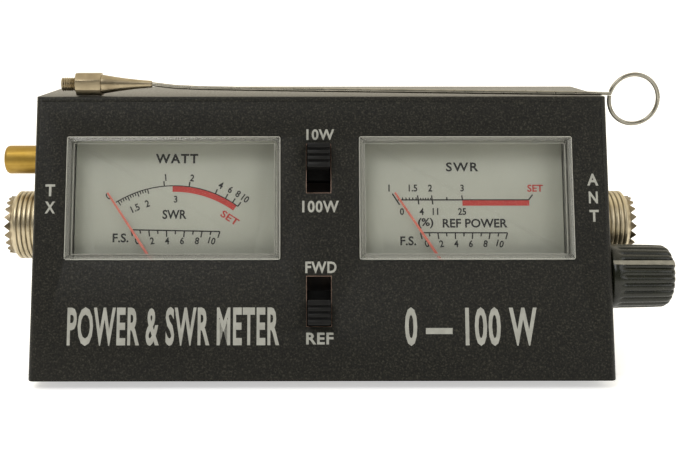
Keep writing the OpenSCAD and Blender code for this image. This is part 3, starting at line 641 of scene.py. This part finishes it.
def makeSocket():
    s = socket
    bm = bmesh.new()
    tip = s["length"] - 0.02
    back = s["flangeBack"]
    profile = [(s["hole"], back), (s["flange"] - 0.2, back), (s["flange"], back + 0.2),
               (s["flange"], s["flangeFront"]), (s["neck"], s["flangeFront"]), (s["neck"], s["threadStart"])]
    z = s["threadStart"]
    while z + s["pitch"] < s["threadEnd"] + 0.2:     # rounded ridges
        profile += [(s["minor"], z + 0.06), (s["minor"] + 0.16, z + 0.2), (s["major"] - 0.04, z + 0.42),
                    (s["major"] - 0.04, z + 0.64), (s["minor"] + 0.16, z + 0.86)]
        z += s["pitch"]
    profile += [(s["collar"] + 0.75, s["threadEnd"] + 0.35), (s["collar"], s["threadEnd"] + 1.0),
                (s["collar"], tip), (s["mouth"], tip), (s["mouth"], s["floor"]), (s["hole"], s["floor"]),
                (s["hole"], back)]
    turned(bm, profile, s["teeth"] * 8)
    for vert in bm.verts:            # the collar's end is cut into pointed teeth
        if vert.co.z > tip - 0.01:
            turn = math.atan2(vert.co.y, vert.co.x) * s["teeth"] / fullTurn
            share = abs((turn % 1) - 0.5) * 2
            vert.co.z -= s["toothDepth"] * share
    return bm


for side, name in ((-1, "tx"), (1, "ant")):
    like = f"{name}_socket_shell"
    place = sideFrame(side, middle(like).y, middle(like).z)
    shell = keep(makeSocket(), f"{name}_shell", place, like, ["nickel", "nickel_painted_dark"], smooth=40)
    toSide = place.inverted()
    for face in shell.data.polygons:
        if (toSide @ face.center).z > socket["threadEnd"] + 0.9:
            face.material_index = 1      # painted dark reflection: the teeth get a darker nickel
    refined(f"{name}_socket_insulator", f"{name}_insulator", soften=0.15)
    refined(f"{name}_socket_contact", f"{name}_contact")
refined("socket_nuts", "socket_hex_nuts", soften=0.3)
refined("socket_washers", "socket_rings")
print("sockets done")

# Antenna post
post = {
    "radius": 3.25,
    "tip": 10.0,
    "corner": 0.9,
    "seat": 1.0,           # on the outer bush
    "stud": 2.0,
    "studEnd": -5.2,
    "bore": 1.5,           # M3
    "pitch": 0.5,
    "boreDepth": 6.0,
}


def makePost():
    p = post
    bm = bmesh.new()
    profile = [(0, p["studEnd"]), (p["stud"] - 0.2, p["studEnd"]), (p["stud"], p["studEnd"] + 0.2),
               (p["stud"], p["seat"]), (p["radius"] - 0.15, p["seat"]), (p["radius"], p["seat"] + 0.15)]
    for i in range(7):
        angle = math.pi / 2 * i / 6
        profile.append((p["radius"] - p["corner"] * (1 - math.cos(angle)),
                        p["tip"] - p["corner"] * (1 - math.sin(angle))))
    profile += [(p["bore"] + 0.3, p["tip"]), (p["bore"], p["tip"] - 0.3)]
    floor = p["tip"] - p["boreDepth"]
    z = p["tip"] - p["pitch"]
    while z > floor + p["pitch"]:    # the thread inside
        profile += [(p["bore"] + 0.16, z), (p["bore"], z - p["pitch"] / 2)]
        z -= p["pitch"]
    profile += [(p["bore"], floor), (0, floor - 0.5)]
    turned(bm, profile)
    return bm


at = middle("antenna_post")
keep(makePost(), "post_body", sideFrame(-1, at.y, at.z), "antenna_post")
refined("post_insulators", "post_bushes", soften=0.15)
print("post done")

# Whip antenna
whip = {
    "y": -3.0,
    "axisZ": 62.6,
    "start": -56.95,
    "stub": 3.2,
    "stubRadius": 1.5,     # M3
    "pitch": 0.5,
    "collar": 5.6,
    "flats": 4.9,          # across the octagon
    "cone": 11.0,
    "wide": 2.1,
    "narrow": 0.75,
    "wire": 0.45,
    "route": [(-39.6, 62.6), (-37.1, 62.6), (-32.0, 62.0), (-26.0, 61.75), (-5.0, 61.4), (18.0, 61.1),
              (40.0, 60.8), (56.0, 60.6)],
    "ringX": 68.95,
    "ringZ": 59.3,
    "ring": 5.4,
}


def makeFerrule():
    w = whip
    bm = bmesh.new()
    root = w["stubRadius"] - 0.25
    profile = [(0, 0), (root, 0), (w["stubRadius"], 0.2)]
    z = 0.35
    while z < w["stub"] - 0.45:
        profile += [(w["stubRadius"] - 0.22, z + 0.12), (w["stubRadius"], z + 0.36)]
        z += w["pitch"]
    profile += [(root, w["stub"] - 0.25), (root, w["stub"] + 0.1), (0, w["stub"] + 0.1)]
    turned(bm, profile, 32)
    head = bmesh.new()
    half = w["flats"] / 2 / math.cos(math.pi / 8)
    headEnd = w["stub"] + w["collar"]
    turned(head, [(0, w["stub"]), (half, w["stub"]), (half, headEnd), (0, headEnd)], 8)
    bmesh.ops.rotate(head, verts=head.verts, cent=(0, 0, 0), matrix=Matrix.Rotation(math.pi / 8, 3, "Z"))
    bmesh.ops.dissolve_limit(head, angle_limit=0.01, verts=head.verts, edges=head.edges)
    bmesh.ops.bevel(head, geom=head.edges[:], offset=0.16, offset_type="OFFSET", affect="EDGES", segments=2,
                    profile=0.5, material=-1)
    spare = bpy.data.meshes.new("head")
    head.to_mesh(spare)
    bm.from_mesh(spare)
    bpy.data.meshes.remove(spare)
    head.free()
    z = headEnd - 0.1
    profile = [(0, z), (w["wide"], z), (w["wide"], z + 0.2)]
    for i in range(1, 13):           # the cone is slightly hollow
        share = i / 12
        hollow = 0.16 * math.sin(math.pi * share)
        radius = w["wide"] + (w["narrow"] - w["wide"]) * share - hollow
        profile.append((radius, z + 0.2 + (w["cone"] - 0.2) * share))
    profile += [(w["wire"] + 0.05, z + w["cone"] + 0.1), (0, z + w["cone"] + 0.1)]
    turned(bm, profile, 40)
    return bm


along = Matrix.Rotation(math.pi / 2, 4, "Y")
stubEnd = Matrix.Translation((case["centreX"] + whip["start"], whip["y"], whip["axisZ"]))
place = Matrix.Scale(mm, 4) @ stubEnd @ along
keep(makeFerrule(), "ferrule", place, "whip_ferrule", ["nickel_whip"], smooth=32)


def makeWire():
    w = whip
    points = [Vector((x, 0, z)) for x, z in w["route"]]
    centre = Vector((w["ringX"], 0, w["ringZ"]))
    for i in range(49):              # once round the ring, clockwise from its left
        angle = math.radians(167 - 7.4 * i)
        points.append(centre + Vector((w["ring"] * math.cos(angle), 0, w["ring"] * math.sin(angle))))
    curve = bpy.data.curves.new("wire", "CURVE")
    curve.dimensions = "3D"
    curve.bevel_depth = w["wire"]
    curve.bevel_resolution = 4
    curve.use_fill_caps = True
    spline = curve.splines.new("POLY")
    spline.points.add(len(points) - 1)
    for spot, point in zip(spline.points, points):
        spot.co = (*point, 1)
    temp = bpy.data.objects.new("wire", curve)
    mesh = bpy.data.meshes.new_from_object(temp)
    bm = bmesh.new()
    bm.from_mesh(mesh)
    bpy.data.objects.remove(temp)
    bpy.data.curves.remove(curve)
    bpy.data.meshes.remove(mesh)
    return bm


place = Matrix.Scale(mm, 4) @ Matrix.Translation((case["centreX"], whip["y"], 0))
keep(makeWire(), "whip_rod", place, "whip_wire", smooth=60)
print("whip done")

# Stage
stage = {
    "floor": 12.0,
    "glow": 0.5,
    "world": 1.35,
    "bright": (0, 0.85, 0.5),      # the world is brightest behind and above
    "aim": (0, 0, 0.03),
    "lights": [  # name, place, size, power
        ("key", (-0.35, -0.55, 0.75), (0.5, 0.4), 4),
        ("fill", (0.6, -0.5, 0.45), (0.5, 0.5), 2),
    ],
}
bm = bmesh.new()
bmesh.ops.create_grid(bm, x_segments=2, y_segments=2, size=stage["floor"])
mesh = bpy.data.meshes.new("floor")
bm.to_mesh(mesh)
bm.free()
floor = bpy.data.objects.new("floor", mesh)
scene.collection.objects.link(floor)
paper, tree, shader = shaderTree("paper")
tree.links.new(ramp(tree, noise(tree, 3, 2), [(0.3, (0.88, 0.88, 0.87)), (0.7, (0.90, 0.90, 0.89))]),
               shader.inputs["Base Color"])
shader.inputs["Roughness"].default_value = 0.9
shader.inputs["Emission Color"].default_value = (1, 1, 1, 1)
shader.inputs["Emission Strength"].default_value = stage["glow"]
mesh.materials.append(paper)

world = bpy.data.worlds.new("studio")
scene.world = world
world.use_nodes = True
tree = world.node_tree
sky = tree.nodes.new("ShaderNodeTexCoord")
rise = tree.nodes.new("ShaderNodeVectorMath")
rise.operation = "DOT_PRODUCT"
rise.inputs[1].default_value = stage["bright"]
tree.links.new(sky.outputs["Generated"], rise.inputs[0])
glow = ramp(tree, rise.outputs["Value"], [(0.0, (0.07, 0.07, 0.065)), (0.35, (1, 0.93, 0.77))])
tree.nodes["Background"].inputs["Strength"].default_value = stage["world"]
tree.links.new(glow, tree.nodes["Background"].inputs["Color"])

for name, at, size, power in stage["lights"]:
    light = bpy.data.lights.new(name, "AREA")
    light.shape = "RECTANGLE"
    light.size, light.size_y = size
    light.energy = power
    lamp = bpy.data.objects.new(name, light)
    lamp.location = at
    lamp.rotation_euler = (Vector(stage["aim"]) - Vector(at)).to_track_quat("-Z", "Y").to_euler()
    scene.collection.objects.link(lamp)

camera = {
    "at": (-0.0068, -0.22456, 0.07911),
    "pitch": 12.28,        # degrees down
    "yaw": 0.228,
    "lens": 52.94,
    "sensor": 36,
    "shift": 0.0529,
    "near": 0.01,
    "far": 20,
}
cameraData = bpy.data.cameras.new("camera")
cameraData.lens = camera["lens"]
cameraData.sensor_width = camera["sensor"]
cameraData.shift_x = camera["shift"]
cameraData.clip_start = camera["near"]
cameraData.clip_end = camera["far"]
eye = bpy.data.objects.new("camera", cameraData)
eye.location = camera["at"]
eye.rotation_euler = (math.radians(90 - camera["pitch"]), 0, -math.radians(camera["yaw"]))
scene.collection.objects.link(eye)
scene.camera = eye
scene.view_settings.view_transform = "Standard"
print("stage done")
